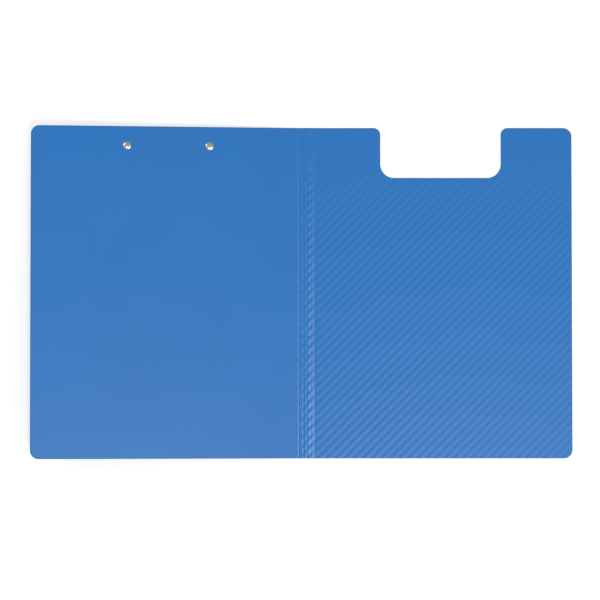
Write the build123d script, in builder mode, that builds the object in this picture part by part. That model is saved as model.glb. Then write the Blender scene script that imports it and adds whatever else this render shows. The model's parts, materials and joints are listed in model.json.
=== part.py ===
from build123d import *
import math
import os

os.makedirs("parts", exist_ok=True)

# Fold-over A4 clipboard lying open with its inner side down, in millimetres.
# The cover and the spine lie flat, and the clip's lever props the back board.
# X runs across the open folder, Y up the page, Z up; the origin is under the middle.

# Sheet of the board, the spine and the cover
SHEET_T = 1.8
SHEET_H = 310.0
BOARD_W = 252.0
SPINE_W = 13.8
COVER_W = 241.0
CORNER_R = 8.0

# Scored lines: two thin webs that fold, and shallower lines on the spine
WEB_T = 0.4
WEB_W = 1.0
SPINE_LINES = 3
LINE_WEB_T = 0.7

# Clip place on the board: across from the fold, and down from the top edge
CLIP_X = 124.2
RIVET_Y = 18.2
PIN_Y = 24.5
BITE_Y = 41.5
LEVER_END_Y = 1.5

# Jaw: sheet, widths and heights above the board
JAW_T = 0.9
JAW_W = 92.0
JAW_TOP_Z = 8.5
LEVER_W = 38.0
LEVER_TOP_Z = 12.5
LEVER_RAMP = 3.8
LEVER_PAD = 6.5
LIP_RUN = 1.3
LIP_RISE = 1.6
BITE_FLAT = 1.2
WALL_RUN = 3.8
KNEE_DROP = 1.4
KNEE_BEND_R = 3.0
BITE_BEND_R = 0.8
RAMP_BEND_R = 3.0
CROWN_R = 20.0
JAW_EAR_R = 3.6
LEVER_CORNER_R = 5.0
LEVER_NECK_R = 4.0
JAW_CORNER_R = 3.0
TOOL_HOLE_R = 3.5

# Base plate and its ears
BASE_T = 1.0
BASE_REAR_Y = 8.5
TIP_BASE_GAP = 2.0
BASE_LIP = 1.5
BASE_CORNER_R = 2.0
EAR_FOOT = 8.0
EAR_BEND_R = 0.5
EAR_HEAD_GAP = 0.3
EAR_SIDE_GAP = 0.15

# Pin, rivets, springs and grip tips
PIN_R = 1.25
PIN_Z = 4.6
PIN_HEAD_R = 2.1
PIN_HEAD_T = 0.8
PIN_HEAD_BEVEL = 0.4
PIN_FIT = 0.05
PIN_END_GAP = 0.1
RIVET_INSET = 7.5
RIVET_R = 1.7
RIVET_FIT = 0.05
RIVET_HEAD_R = 3.85
RIVET_HEAD_H = 1.2
RIVET_RIM = 0.25
RIVET_TAIL_R = 2.9
RIVET_TAIL_H = 0.7
RIVET_TAIL_BEVEL = 0.4
RIVET_BORE_R = 1.0
RIVET_BORE_DEPTH = 2.4
WIRE_R = 0.5
WIRE_SIDES = 8
COIL_R = 2.1
COIL_PITCH = 1.5
COIL_TURNS = 3
COIL_X = 20.0
LEG_REACH = 9.0
LEG_GAP = 0.05
TIP_WALL = 0.9
TIP_BOARD_GAP = 0.1
TIP_L = 9.5
TIP_UP = 4.6
TIP_ROUND = 0.7

# Clearances of the cover's notch round the clip
NOTCH_FREE_GAP = 3.4
NOTCH_FOLD_GAP = 16.0
NOTCH_END_GAP = 2.7
NOTCH_INNER_R = 13.0
NOTCH_MOUTH_R = 6.3

# Sizes that follow
half_t = SHEET_T / 2
web_half = WEB_W / 2
bevel = (SHEET_T - WEB_T) / 2
clip_half = JAW_W / 2 + TIP_WALL
clip_reach = BITE_Y + BITE_FLAT / 2 + LIP_RUN + TIP_WALL
notch_near = CLIP_X - clip_half - NOTCH_FOLD_GAP
notch_far = CLIP_X + clip_half + NOTCH_FREE_GAP
notch_depth = clip_reach + NOTCH_END_GAP
base_w = JAW_W - 2 * (JAW_T + EAR_SIDE_GAP)
base_front_w = JAW_W - 2 * (TIP_L + TIP_BASE_GAP)
rivet_pitch = JAW_W - 2 * RIVET_INSET

# The board leans on the near side of the lever pad, whose height is propped_z
lever_near = CLIP_X - LEVER_W / 2
propped_z = LEVER_TOP_Z + half_t
tilt = math.atan2(propped_z, lever_near) - math.asin(half_t / math.hypot(propped_z, lever_near))
board_reach = BOARD_W * math.cos(tilt) + half_t * math.sin(tilt)
fold_x = (board_reach - SPINE_W - COVER_W) / 2

# Planes: each local z points to the inner side on the board and the clip
board_plane = Plane(
    origin=(fold_x, 0, half_t),
    x_dir=(-math.cos(tilt), 0, math.sin(tilt)),
    z_dir=(-math.sin(tilt), 0, -math.cos(tilt)),
)
spine_plane = Plane(origin=(fold_x + SPINE_W / 2, 0, half_t))
cover_plane = Plane(origin=(fold_x + SPINE_W, 0, half_t))
clip_plane = Plane(
    origin=board_plane.from_local_coords((CLIP_X, SHEET_H / 2, half_t)),
    x_dir=board_plane.x_dir,
    z_dir=board_plane.z_dir,
)
side_plane = Plane(origin=clip_plane.origin, x_dir=clip_plane.y_dir, z_dir=clip_plane.x_dir)


def save(piece, name):
    """Labels one finished piece and writes it."""
    piece.part.label = name
    export_step(piece.part, f"parts/{name}.step")


# Back board: a sheet with two round corners, rivet holes and a bevel along the fold
with BuildPart() as back_board:
    with BuildSketch(board_plane) as board_outline:
        with Locations(((BOARD_W + web_half) / 2, 0)):
            Rectangle(BOARD_W - web_half, SHEET_H)
        fillet(board_outline.vertices().group_by(Axis.X)[-1], CORNER_R)
        with Locations((CLIP_X, SHEET_H / 2 - RIVET_Y)):
            with GridLocations(rivet_pitch, 0, 2, 1):
                Circle(RIVET_R + RIVET_FIT, mode=Mode.SUBTRACT)
    extrude(amount=half_t, both=True)
    chamfer(back_board.edges().filter_by(Axis.Y).sort_by(Axis.X)[-2:], bevel)
save(back_board, "back_board")


# Spine: a strip bevelled along both folds, with shallower scored lines on both faces
with BuildPart() as spine_strip:
    with BuildSketch(spine_plane):
        Rectangle(SPINE_W - WEB_W, SHEET_H)
    extrude(amount=half_t, both=True)
    chamfer(spine_strip.edges().filter_by(Axis.Y), bevel)
    line_depth = (SHEET_T - LINE_WEB_T) / 2
    with BuildSketch(Plane(spine_plane.origin, x_dir=(1, 0, 0), z_dir=(0, -1, 0))):
        with GridLocations(SPINE_W / (SPINE_LINES + 1), SHEET_T, SPINE_LINES, 2):
            Rectangle(line_depth * math.sqrt(2), line_depth * math.sqrt(2), rotation=45)
    extrude(amount=SHEET_H, both=True, mode=Mode.SUBTRACT)
save(spine_strip, "spine_strip")


# Cover: a sheet with two round corners and the notch that lets the clip through
with BuildPart() as front_cover:
    with BuildSketch(cover_plane) as cover_outline:
        with Locations(((COVER_W + web_half) / 2, 0)):
            Rectangle(COVER_W - web_half, SHEET_H)
        fillet(cover_outline.vertices().group_by(Axis.X)[-1], CORNER_R)
        with Locations(((notch_near + notch_far) / 2, SHEET_H / 2)):
            Rectangle(notch_far - notch_near, 2 * notch_depth, mode=Mode.SUBTRACT)
        walls = cover_outline.edges().filter_by(Axis.Y).filter_by_position(
            Axis.X, notch_near - web_half, notch_far + web_half
        )
        fillet(walls.vertices().group_by(Axis.Y)[-1], NOTCH_MOUTH_R)
        walls = cover_outline.edges().filter_by(Axis.Y).filter_by_position(
            Axis.X, notch_near - web_half, notch_far + web_half
        )
        fillet(walls.vertices().group_by(Axis.Y)[0], NOTCH_INNER_R)
    extrude(amount=half_t, both=True)
    chamfer(front_cover.edges().filter_by(Axis.Y).sort_by(Axis.X)[:2], bevel)
save(front_cover, "front_cover")


# Folding webs: thin strips from nose to nose, bent a little where the board leans
def nose(plane, side):
    """The two corners of a panel's nose, outer first, in X and Z."""
    out = -1 if plane is board_plane else 1
    corners = [plane.from_local_coords((side * web_half, 0, out * WEB_T / 2))]
    corners.append(plane.from_local_coords((side * web_half, 0, -out * WEB_T / 2)))
    return [(corner.X, corner.Z) for corner in corners]


spine_edge = Plane(origin=(fold_x, 0, half_t))
with BuildPart() as board_crease:
    with BuildSketch(Plane.XZ):
        with BuildLine():
            Polyline(*nose(board_plane, 1), *reversed(nose(spine_edge, 1)), close=True)
        make_face()
    extrude(amount=SHEET_H / 2, both=True)
save(board_crease, "board_crease")

with BuildPart() as cover_crease:
    with BuildSketch(Plane.XZ):
        with BuildLine():
            Polyline(*nose(cover_plane, -1), *reversed(nose(cover_plane, 1)), close=True)
        make_face()
    extrude(amount=SHEET_H / 2, both=True)
save(cover_crease, "cover_crease")


# Clip base: a plate riveted to the board, narrower at the bite, with two bent ears
with BuildPart() as clip_base:
    ear_back = -(PIN_Y + EAR_FOOT / 2)
    base_end = -(BITE_Y + BASE_LIP)
    with BuildSketch(clip_plane) as base_outline:
        with Locations((0, (ear_back - BASE_REAR_Y) / 2)):
            Rectangle(base_w, -ear_back - BASE_REAR_Y)
        with Locations((0, (ear_back + base_end) / 2)):
            Rectangle(base_front_w, ear_back - base_end)
        fillet(base_outline.vertices(), BASE_CORNER_R)
        with Locations((0, -RIVET_Y)):
            with GridLocations(rivet_pitch, 0, 2, 1):
                Circle(RIVET_R + RIVET_FIT, mode=Mode.SUBTRACT)
    extrude(amount=BASE_T)
    ear_r = JAW_TOP_Z - JAW_T - EAR_HEAD_GAP - PIN_Z
    for side in (-1, 1):
        with BuildSketch(side_plane.offset(side * base_w / 2)):
            with Locations((-PIN_Y, PIN_Z)):
                Circle(ear_r)
            with Locations((-PIN_Y, BASE_T / 2)):
                Rectangle(EAR_FOOT - 2 * BASE_CORNER_R, BASE_T)
            make_hull()
            with Locations((-PIN_Y, PIN_Z)):
                Circle(PIN_R + PIN_FIT, mode=Mode.SUBTRACT)
        extrude(amount=-side * BASE_T)
    inner_bends = [
        edge
        for edge in clip_base.edges().filter_by(Axis.Y)
        if abs(clip_plane.to_local_coords(edge.center()).Z - BASE_T) < EAR_BEND_R / 2
        and abs(abs(clip_plane.to_local_coords(edge.center()).X) - base_w / 2 + BASE_T) < EAR_BEND_R / 2
    ]
    fillet(inner_bends, EAR_BEND_R)
save(clip_base, "clip_base")


# Jaw: one bent sheet with its lip, bite, front wall, crown and lever, and two side ears
bite_z = BASE_T + JAW_T / 2
crown_z = JAW_TOP_Z - JAW_T / 2
lever_z = LEVER_TOP_Z - JAW_T / 2
lip_end = (-(BITE_Y + BITE_FLAT / 2 + LIP_RUN), bite_z + LIP_RISE)
bite_front = (-(BITE_Y + BITE_FLAT / 2), bite_z)
bite_rear = (-(BITE_Y - BITE_FLAT / 2), bite_z)
knee = (bite_rear[0] + WALL_RUN, crown_z - KNEE_DROP)
crown = (-(PIN_Y + JAW_EAR_R), crown_z)
ramp_foot = (-(LEVER_END_Y + LEVER_PAD + LEVER_RAMP), crown_z)
ramp_head = (-(LEVER_END_Y + LEVER_PAD), lever_z)
lever_end = (-LEVER_END_Y, lever_z)
body_rear = ramp_foot[0] - RAMP_BEND_R / 2

with BuildPart() as clip_jaw:
    with BuildSketch(side_plane):
        with BuildLine() as jaw_line:
            FilletPolyline(
                lip_end,
                bite_front,
                bite_rear,
                knee,
                crown,
                ramp_foot,
                ramp_head,
                lever_end,
                radius=[BITE_BEND_R, BITE_BEND_R, KNEE_BEND_R, CROWN_R, RAMP_BEND_R, RAMP_BEND_R],
            )
        trace(jaw_line.line, JAW_T)
    extrude(amount=JAW_W / 2, both=True)
    with BuildSketch(clip_plane) as jaw_outline:
        with Locations((0, (lip_end[0] - JAW_T + body_rear) / 2)):
            Rectangle(JAW_W, body_rear - lip_end[0] + JAW_T)
        fillet(jaw_outline.vertices().group_by(Axis.Y)[-1], JAW_CORNER_R)
        with Locations((0, body_rear / 2)):
            Rectangle(LEVER_W, -body_rear)
        neck = jaw_outline.vertices().filter_by_position(Axis.X, -LEVER_W / 2, LEVER_W / 2)
        fillet(neck.group_by(Axis.Y)[0], LEVER_NECK_R)
        fillet(jaw_outline.vertices().group_by(Axis.Y)[-1], LEVER_CORNER_R)
        with Locations((0, -RIVET_Y)):
            with GridLocations(rivet_pitch, 0, 2, 1):
                Circle(TOOL_HOLE_R, mode=Mode.SUBTRACT)
    extrude(amount=LEVER_TOP_Z + JAW_T, mode=Mode.INTERSECT)
    for side in (-1, 1):
        with BuildSketch(side_plane.offset(side * JAW_W / 2)):
            with BuildLine():
                Polyline(
                    (crown[0] - JAW_EAR_R, crown_z - KNEE_DROP / 2),
                    crown,
                    (body_rear - JAW_CORNER_R, crown_z),
                    (-PIN_Y, PIN_Z),
                    close=True,
                )
            make_face()
            with Locations((-PIN_Y, PIN_Z)):
                Circle(JAW_EAR_R)
                Circle(PIN_R + PIN_FIT, mode=Mode.SUBTRACT)
        extrude(amount=-side * JAW_T)
save(clip_jaw, "clip_jaw")


# Pin: a rod through all four ears with a bevelled head at each end
with BuildPart() as clip_pin:
    pin_half = JAW_W / 2 + PIN_END_GAP
    pin_plane = Plane(
        origin=side_plane.from_local_coords((-PIN_Y, PIN_Z, 0)),
        x_dir=side_plane.x_dir,
        z_dir=side_plane.z_dir,
    )
    with BuildSketch(pin_plane):
        Circle(PIN_R)
    extrude(amount=pin_half, both=True)
    for side in (-1, 1):
        with BuildSketch(pin_plane.offset(side * pin_half)):
            Circle(PIN_HEAD_R)
        extrude(amount=side * PIN_HEAD_T)
    ends = clip_pin.faces().sort_by(Axis(pin_plane.origin, pin_plane.z_dir))
    chamfer(ends[0].edges() + ends[-1].edges(), PIN_HEAD_BEVEL)
save(clip_pin, "clip_pin")


# Rivets: domed heads on the outer face, hollow tails rolled over on the base plate
with BuildPart() as clip_rivets:
    outer_z = -SHEET_T
    for side in (-1, 1):
        rivet_plane = Plane(
            origin=clip_plane.from_local_coords((side * rivet_pitch / 2, -RIVET_Y, 0)),
            x_dir=clip_plane.x_dir,
            z_dir=-clip_plane.y_dir,
        )
        dome_r = (RIVET_HEAD_R**2 + (RIVET_HEAD_H - RIVET_RIM) ** 2) / (2 * (RIVET_HEAD_H - RIVET_RIM))
        with BuildSketch(rivet_plane):
            with BuildLine():
                Polyline(
                    (RIVET_HEAD_R, outer_z - RIVET_RIM),
                    (RIVET_HEAD_R, outer_z),
                    (RIVET_R, outer_z),
                    (RIVET_R, BASE_T),
                    (RIVET_TAIL_R, BASE_T),
                    (RIVET_TAIL_R - RIVET_TAIL_BEVEL, BASE_T + RIVET_TAIL_H),
                    (RIVET_BORE_R + RIVET_TAIL_BEVEL, BASE_T + RIVET_TAIL_H),
                    (RIVET_BORE_R, BASE_T + RIVET_TAIL_H - RIVET_TAIL_BEVEL),
                    (RIVET_BORE_R, BASE_T - RIVET_BORE_DEPTH),
                    (0, BASE_T - RIVET_BORE_DEPTH),
                    (0, outer_z - RIVET_HEAD_H),
                )
                RadiusArc((0, outer_z - RIVET_HEAD_H), (RIVET_HEAD_R, outer_z - RIVET_RIM), dome_r)
            make_face()
        revolve(axis=Axis(rivet_plane.origin, clip_plane.z_dir))
save(clip_rivets, "clip_rivets")


# Springs: one unbroken wire each, from a leg on the base, round the pin, to a leg under the jaw
def tangent_angle(y, z, turn):
    """Angle round the pin where a straight leg from (y, z) touches the coil."""
    away = math.hypot(y + PIN_Y, z - PIN_Z)
    return math.atan2(z - PIN_Z, y + PIN_Y) + turn * math.acos(COIL_R / away)


leg_end_y = -PIN_Y + LEG_REACH
low_angle = tangent_angle(leg_end_y, BASE_T + WIRE_R + LEG_GAP, -1)
high_angle = tangent_angle(leg_end_y, JAW_TOP_Z - JAW_T - WIRE_R - LEG_GAP, 1)
wind = COIL_TURNS * 2 * math.pi + 2 * math.pi + low_angle - high_angle
advance = COIL_PITCH / (2 * math.pi)


def coil_point(side, turned):
    """Point on the coil's centre line after winding by turned radians."""
    angle = low_angle - turned
    return clip_plane.from_local_coords(
        (
            side * (COIL_X + advance * turned),
            -PIN_Y + COIL_R * math.cos(angle),
            PIN_Z + COIL_R * math.sin(angle),
        )
    )


def coil_tangent(side, turned):
    """Unit direction of the wire after winding by turned radians."""
    angle = low_angle - turned
    across = Vector(side * advance, COIL_R * math.sin(angle), -COIL_R * math.cos(angle))
    return (
        clip_plane.x_dir * across.X + clip_plane.y_dir * across.Y + clip_plane.z_dir * across.Z
    ).normalized()


def biarc_joint(start, end, start_dir, end_dir):
    """Point where two arcs from start to end meet with one tangent."""
    chord = end - start
    both = start_dir + end_dir
    spread = 2 * (1 - start_dir.dot(end_dir))
    lean = chord.dot(both)
    reach = (-lean + math.sqrt(lean**2 + spread * chord.dot(chord))) / spread
    return (start + end + (start_dir - end_dir) * reach) * 0.5


def wire_spring(side):
    """One torsion spring, wound from its middle end outwards on the given side."""
    steps = math.ceil(wind / math.pi)
    step = wind / steps
    leg = math.sqrt((leg_end_y + PIN_Y) ** 2 + (BASE_T + WIRE_R + LEG_GAP - PIN_Z) ** 2 - COIL_R**2)
    with BuildPart() as spring:
        with BuildLine() as route:
            Line(coil_point(side, 0) - coil_tangent(side, 0) * leg, coil_point(side, 0))
            for count in range(steps):
                start = coil_point(side, count * step)
                end = coil_point(side, (count + 1) * step)
                start_dir = coil_tangent(side, count * step)
                end_dir = coil_tangent(side, (count + 1) * step)
                joint = biarc_joint(start, end, start_dir, end_dir)
                TangentArc(start, joint, tangent=start_dir)
                TangentArc(joint, end, tangent=joint_tangent(start, joint, start_dir))
            Line(coil_point(side, wind), coil_point(side, wind) + coil_tangent(side, wind) * leg)
        with BuildSketch(Plane(origin=route.wire() @ 0, z_dir=route.wire() % 0)):
            RegularPolygon(WIRE_R, WIRE_SIDES)
        sweep(path=route.wire())
    return spring


def joint_tangent(start, joint, start_dir):
    """Direction at the far end of an arc that leaves start along start_dir."""
    chord = (joint - start).normalized()
    return (chord * (2 * chord.dot(start_dir)) - start_dir).normalized()


spring_left = wire_spring(-1)
spring_right = wire_spring(1)
save(spring_left, "spring_left")
save(spring_right, "spring_right")
turn_gap = COIL_PITCH * COIL_R / math.hypot(COIL_R, advance) - 2 * WIRE_R
print("least gap between spring turns", round(turn_gap, 3))


# Grip tips: rounded plastic caps over the jaw's front corners
wall_length = math.hypot(knee[0] - bite_rear[0], knee[1] - bite_rear[1])
wall_dir = ((knee[0] - bite_rear[0]) / wall_length, (knee[1] - bite_rear[1]) / wall_length)
tip_half = JAW_T / 2 + TIP_WALL
tip_top = (bite_rear[0] + wall_dir[0] * TIP_UP, bite_rear[1] + wall_dir[1] * TIP_UP)
tip_rear_foot = bite_rear[0] + BITE_FLAT / 2 + tip_half


def grip_tip(side):
    """One cap, closed past the jaw's end, with the jaw's sheet cut out of it."""
    with BuildPart() as tip:
        with BuildSketch(side_plane.offset(side * clip_half)) as tip_outline:
            with BuildLine():
                Polyline(
                    (lip_end[0] - TIP_WALL, TIP_BOARD_GAP),
                    (tip_rear_foot, TIP_BOARD_GAP),
                    (tip_top[0] + wall_dir[1] * tip_half, tip_top[1] - wall_dir[0] * tip_half),
                    (tip_top[0] - wall_dir[1] * tip_half, tip_top[1] + wall_dir[0] * tip_half),
                    (lip_end[0] - TIP_WALL, lip_end[1] + TIP_WALL),
                    close=True,
                )
            make_face()
            fillet(tip_outline.vertices(), TIP_ROUND)
        extrude(amount=-side * (TIP_L + TIP_WALL))
        outer_end = tip.faces().sort_by(Axis(clip_plane.origin, clip_plane.x_dir))[-1 if side > 0 else 0]
        fillet(outer_end.edges(), TIP_ROUND)
        add(clip_jaw.part, mode=Mode.SUBTRACT)
    return tip


grip_tip_left = grip_tip(-1)
grip_tip_right = grip_tip(1)
save(grip_tip_left, "grip_tip_left")
save(grip_tip_right, "grip_tip_right")

# Numbers that place the joints, the opening and the rest face
pin_point = clip_plane.from_local_coords((0, -PIN_Y, PIN_Z))
print("tilt degrees", round(math.degrees(tilt), 4))
print("board fold x", fold_x, "cover fold x", fold_x + SPINE_W, "fold z", half_t)
print("pin", pin_point, "pin axis", clip_plane.x_dir)
print("notch x", fold_x + SPINE_W + notch_near, fold_x + SPINE_W + notch_far, "depth", notch_depth)
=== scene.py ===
import json
import math

import bmesh
import bpy
from mathutils import Matrix, Vector

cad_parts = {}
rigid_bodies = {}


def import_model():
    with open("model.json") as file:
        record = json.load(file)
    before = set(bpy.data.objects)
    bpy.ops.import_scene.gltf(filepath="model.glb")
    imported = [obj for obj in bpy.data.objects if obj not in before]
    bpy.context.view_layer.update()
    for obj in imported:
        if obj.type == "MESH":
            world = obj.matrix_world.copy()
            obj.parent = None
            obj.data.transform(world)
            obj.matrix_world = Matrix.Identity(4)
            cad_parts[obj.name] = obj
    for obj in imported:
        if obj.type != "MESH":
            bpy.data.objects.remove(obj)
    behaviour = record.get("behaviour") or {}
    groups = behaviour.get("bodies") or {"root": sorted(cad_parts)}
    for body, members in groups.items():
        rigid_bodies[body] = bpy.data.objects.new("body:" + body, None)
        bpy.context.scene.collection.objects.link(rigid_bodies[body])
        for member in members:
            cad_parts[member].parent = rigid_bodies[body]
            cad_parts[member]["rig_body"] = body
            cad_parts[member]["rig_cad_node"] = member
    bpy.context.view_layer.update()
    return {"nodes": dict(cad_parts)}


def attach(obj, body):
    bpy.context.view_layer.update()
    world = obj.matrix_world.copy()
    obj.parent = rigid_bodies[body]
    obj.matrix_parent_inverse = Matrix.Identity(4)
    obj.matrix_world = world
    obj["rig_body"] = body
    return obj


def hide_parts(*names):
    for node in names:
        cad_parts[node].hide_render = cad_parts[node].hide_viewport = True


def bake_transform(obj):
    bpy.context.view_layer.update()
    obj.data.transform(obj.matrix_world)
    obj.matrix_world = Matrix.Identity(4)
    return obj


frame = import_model()

# Open fold-over clipboard seen on its outer side, in metres: X across, Y up the page, Z up
MM = 0.001

# Sheet sizes, as the solids have them
SHEET_T = 1.8 * MM
SHEET_H = 310.0 * MM
BOARD_W = 252.0 * MM
SPINE_W = 13.8 * MM
COVER_W = 241.0 * MM
CORNER_R = 8.0 * MM
WEB_T = 0.4 * MM
WEB_W = 1.0 * MM
HALF_T = SHEET_T / 2
WEB_HALF = WEB_W / 2
NOSE_DROP = (SHEET_T - WEB_T) / 2
NOSE_REACH = 1.2 * NOSE_DROP
SPINE_LINES = 3
RIM_SOFTNESS = 0.35 * MM

# Pressed lines: shallow on the outer side with raised shoulders, deeper on the inner side
GROOVE_DEPTH = 0.45 * MM
SHOULDER_RISE = 0.10 * MM
SHOULDER_RUN = 1.0 * MM
SHOULDER_OUT = 1.1 * MM
LINE_DEPTH_OUT = 0.12 * MM
LINE_HALF_OUT = 0.30 * MM
LINE_DEPTH_IN = 0.55 * MM
CROWN_RISE = 0.08 * MM
CROWN_HALF = 0.8 * MM

# Places of the folds and the clip; the board leans by its tilt on the clip under it
TILT = math.radians(6.77279)
FOLD_X = -2.22621 * MM
CLIP_X = 124.2 * MM
RIVET_Y = 18.2 * MM
RIVET_PITCH = 77.0 * MM
RIVET_BORE = 1.75 * MM
PIN_Y = 24.5 * MM
PIN_Z = 4.6 * MM
BASE_T = 1.0 * MM
JAW_TOP_Z = 8.5 * MM
JAW_T = 0.9 * MM
JAW_W = 92.0 * MM

# Rivets and pin
RIVET_R = 1.7 * MM
RIVET_HEAD_R = 3.85 * MM
RIVET_HEAD_H = 1.2 * MM
RIVET_RIM = 0.25 * MM
RIVET_TAIL_R = 2.9 * MM
RIVET_TAIL_H = 0.7 * MM
RIVET_HOLLOW_R = 1.0 * MM
RIVET_HOLLOW = 2.4 * MM
PIN_R = 1.25 * MM
PIN_HEAD_R = 2.1 * MM
PIN_HEAD_T = 0.8 * MM
PIN_END_GAP = 0.1 * MM

# Springs
WIRE_R = 0.5 * MM
COIL_R = 2.1 * MM
COIL_PITCH = 1.5 * MM
COIL_TURNS = 3
COIL_X = 20.0 * MM
LEG_REACH = 9.0 * MM
LEG_GAP = 0.05 * MM

# Notch in the cover, measured from the cover's fold and down from its top edge
NOTCH_NEAR = 61.3 * MM
NOTCH_FAR = 174.5 * MM
NOTCH_DEPTH = 47.0 * MM
NOTCH_INNER_R = 13.0 * MM
NOTCH_MOUTH_R = 6.3 * MM

# Fineness of bends, rounds and turned forms
WEB_CUTS = 8
TURNED_SIDES = 48
DOME_RINGS = 9
HEAD_RINGS = 5
COIL_STEPS = 20
CORNER_STEPS = 12
NOTCH_INNER_STEPS = 14
NOTCH_MOUTH_STEPS = 10
RIM_STEPS = 3
BORE_SIDES = 32

# Tolerances of the mesh work, and softened edges of the stamped and moulded pieces
SAME_PLACE = 0.02 * MM
MERGE_GAP = 0.001 * MM
SOLID_MERGE_GAP = 0.002 * MM
FLAT_ANGLE = math.radians(1)
SHARP_ANGLE = math.radians(40)
STEEL_EDGE = 0.16 * MM
CAP_EDGE = 0.12 * MM

# Plastic: twill with painted shade and light along it, painted highlights and glints on the spine's pressed
# lines, rub marks, and painted shade along the cut edges
TWILL_THREAD = 2.12 * MM
THREAD_SHARE = 0.35
THREAD_DRIFT = 0.9 * MM
BAND_STEEPNESS = 1.4
# The twill's relief and its painted shade fade out towards the top edge between these heights
TWILL_FAINT = 145.0 * MM
TWILL_FULL = 45.0 * MM
OUTER_FACING = 0.2
PLASTIC_GRAIN = 0.0015 * MM
PLASTIC_IOR = 1.49
ROUGHNESS_SPREAD = 0.04
SCUFF_TURN = math.radians(28)
SCUFF_SHARE = 0.35
# Painted shade: width and strength of the darker line along the cut edges
RIM_SHADE_WIDTH = 1.6 * MM
RIM_SHADE_STRENGTH = 6.0
EDGE_MASK_GAIN = 6.0
# Painted highlights on the spine's crests and painted glints on its twill, stronger towards the lower end;
# the burnish gloss lowers the roughness there
CREST_SHARE = 0.34
CREST_SPREAD = 0.75
CREST_BASE = 0.25
SHEEN_FROM = 140.0 * MM
BURNISH_AND_GLINT_START = 1.95
BURNISH_AND_GLINT_FULL = 2.2
BURNISH_GLOSS = 0.07
LAST_BAND_GLINT = 0.5
GLINT_WHITENING = 0.6

# Metal and caps
WORN_WIDTH = 0.4 * MM
METAL_GRAIN = 0.004 * MM
MOULD_GRAIN = 0.02 * MM
EDGE_BRIGHTENING = 1.12
DRAWN_BRIGHT = 0.7
DRAWN_DULL = 1.5

# Colours of the plastic
BLUE = (0.010, 0.178, 0.548)
BLUE_DEEP = (0.005, 0.152, 0.470)
# Pale colour for real rub marks and fold whitening, and for the painted highlights and glints
BLUE_PALE = (0.250, 0.440, 0.850)
# Painted shade along the cut edges
BLUE_RIM_SHADE = (0.028, 0.120, 0.270)
BLACK = (0.022, 0.022, 0.024)
BLACK_DEEP = (0.012, 0.012, 0.013)
BLACK_WORN = (0.07, 0.07, 0.075)

# Light, floor and camera
WORLD_LEVEL = 0.46
FLOOR_SIZE = 12
FLOOR_GAP = 0.05 * MM
FLOOR_WHITE = 0.86
FLOOR_LIFT = 0.40
FLOOR_LIFT_NEAR = 0.7
FLOOR_LIFT_FAR = 2.2
CAMERA_FAR = 2.44
CAMERA_PITCH = math.radians(1.9)
CAMERA_AIM = Vector((-2.53 * MM, -6.63 * MM, 0))
CAMERA_LENS = 156.0
CAMERA_SENSOR = 36.0
CAMERA_REACH = 50.0

# Frames: the board's z points out of its outer side, the clip's v down the page and w inwards
board_frame = Matrix.Translation((FOLD_X, 0, HALF_T)) @ Matrix.Rotation(TILT, 4, "Y")
spine_frame = Matrix.Translation((FOLD_X, 0, HALF_T))
cover_frame = Matrix.Translation((FOLD_X + SPINE_W, 0, HALF_T))
clip_frame = (
    board_frame
    @ Matrix.Translation((-CLIP_X, SHEET_H / 2, -HALF_T))
    @ Matrix.Rotation(math.pi, 4, "X")
)


# Mesh helpers
def select_only(piece):
    """Selects one piece and makes it the active one."""
    bpy.ops.object.select_all(action="DESELECT")
    piece.select_set(True)
    bpy.context.view_layer.objects.active = piece


def size_up(piece, size, middle):
    """Brings a unit primitive to its size and its middle to its place."""
    piece.data.transform(Matrix.Diagonal((*size, 1)))
    piece.data.transform(Matrix.Translation(middle))


def start_edit(piece):
    """Opens one piece for editing with nothing selected."""
    select_only(piece)
    bpy.ops.object.mode_set(mode="EDIT")
    bpy.ops.mesh.select_mode(type="VERT")
    bpy.ops.mesh.select_all(action="DESELECT")


def end_edit():
    """Leaves edit mode."""
    bpy.ops.object.mode_set(mode="OBJECT")


def pick(piece, kind, test):
    """Selects the piece's vertices, or faces, that pass a test of their middle, in edit mode."""
    bpy.ops.mesh.select_mode(type=kind)
    bpy.ops.mesh.select_all(action="DESELECT")
    mesh = bmesh.from_edit_mesh(piece.data)
    if kind == "VERT":
        places = [(vertex, vertex.co) for vertex in mesh.verts]
    else:
        places = [(face, face.calc_center_median()) for face in mesh.faces]
    for element, place in places:
        if test(place):
            element.select_set(True)
    mesh.select_flush_mode()
    bmesh.update_edit_mesh(piece.data)


def near(value, target):
    """True where a coordinate is at the target, to a few micrometres."""
    return abs(value - target) < SAME_PLACE


def split_at(piece, x=None, y=None):
    """Cuts the whole piece across its length or its height, in edit mode."""
    bpy.ops.mesh.select_all(action="SELECT")
    across = (0.0, 1.0, 0.0) if x is None else (1.0, 0.0, 0.0)
    bpy.ops.mesh.bisect(plane_co=(x or 0, y or 0, 0), plane_no=across)


def modifier(piece, kind, **settings):
    """Adds a modifier with the given settings and applies it."""
    select_only(piece)
    added = piece.modifiers.new(kind.title(), kind)
    for name, value in settings.items():
        setattr(added, name, value)
    bpy.ops.object.modifier_apply(modifier=added.name)


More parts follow.
